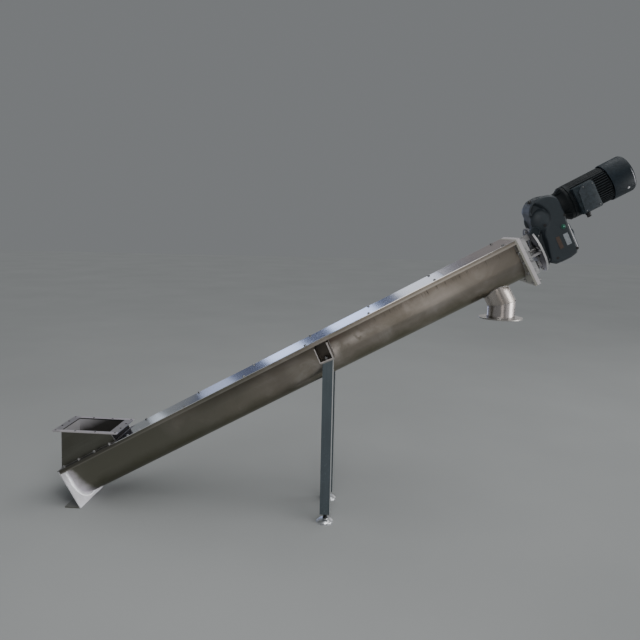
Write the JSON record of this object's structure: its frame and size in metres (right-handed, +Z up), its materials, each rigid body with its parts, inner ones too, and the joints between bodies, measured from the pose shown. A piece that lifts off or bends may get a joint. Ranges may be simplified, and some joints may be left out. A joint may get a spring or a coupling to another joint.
{
  "type": "inclined screw conveyor",
  "caption": "Inclined trough screw conveyor with an inlet hopper at the tail, a discharge spout and a geared motor at the head, on two legs.",
  "frame": {"origin": "centre of the tail foot plate's underside, on the floor", "axes": "+X level towards the head, +Y to the side away from the terminal box, +Z up"},
  "size_m": [3.2663, 0.394, 2.1178],
  "materials": {
    "stainless": "mill finish with scratches and weld tint",
    "bright_steel": "polished",
    "leg_steel": "satin",
    "cast_metal": "machined casting",
    "drive_paint": "semi-gloss dark grey"
  },
  "bodies": {
    "root": {"trough": "stainless", "tail_end_plate": "stainless", "tail_foot_plate": "stainless", "tail_bearing": "cast_metal", "cover_lower": "stainless", "cover_upper": "stainless", "head_trough_flange": "stainless", "head_end_plate": "stainless", "hopper_base_plate": "stainless", "hopper_near_wall": "stainless", "hopper_far_wall": "stainless", "hopper_tail_wall": "stainless", "hopper_head_wall": "stainless", "hopper_top_flange": "stainless", "screw_tube": "stainless", "screw_flight": "stainless", "tail_stub_shaft": "bright_steel", "drive_shaft": "bright_steel", "spout_upper_pipe": "bright_steel", "spout_lower_pipe": "bright_steel", "spout_flange": "bright_steel", "near_bracket": "stainless", "near_leg_top_plate": "stainless", "near_leg": "leg_steel", "near_foot_stem": "bright_steel", "near_foot_disc": "bright_steel", "far_bracket": "stainless", "far_leg_top_plate": "stainless", "far_leg": "leg_steel", "far_foot_stem": "bright_steel", "far_foot_disc": "bright_steel", "lantern_base_plate": "cast_metal", "lantern_ring": "cast_metal", "lantern_rib_far": "cast_metal", "lantern_rib_top": "cast_metal", "lantern_rib_near": "cast_metal", "lantern_rib_bottom": "cast_metal", "gearbox_flange": "drive_paint", "gearbox_housing": "drive_paint", "gearbox_cover": "drive_paint", "motor_adapter": "drive_paint", "motor_body": "drive_paint", "motor_fan_cowl": "drive_paint", "terminal_box": "drive_paint", "terminal_box_lid": "drive_paint", "cable_gland": "drive_paint"}
  },
  "joints": []
}
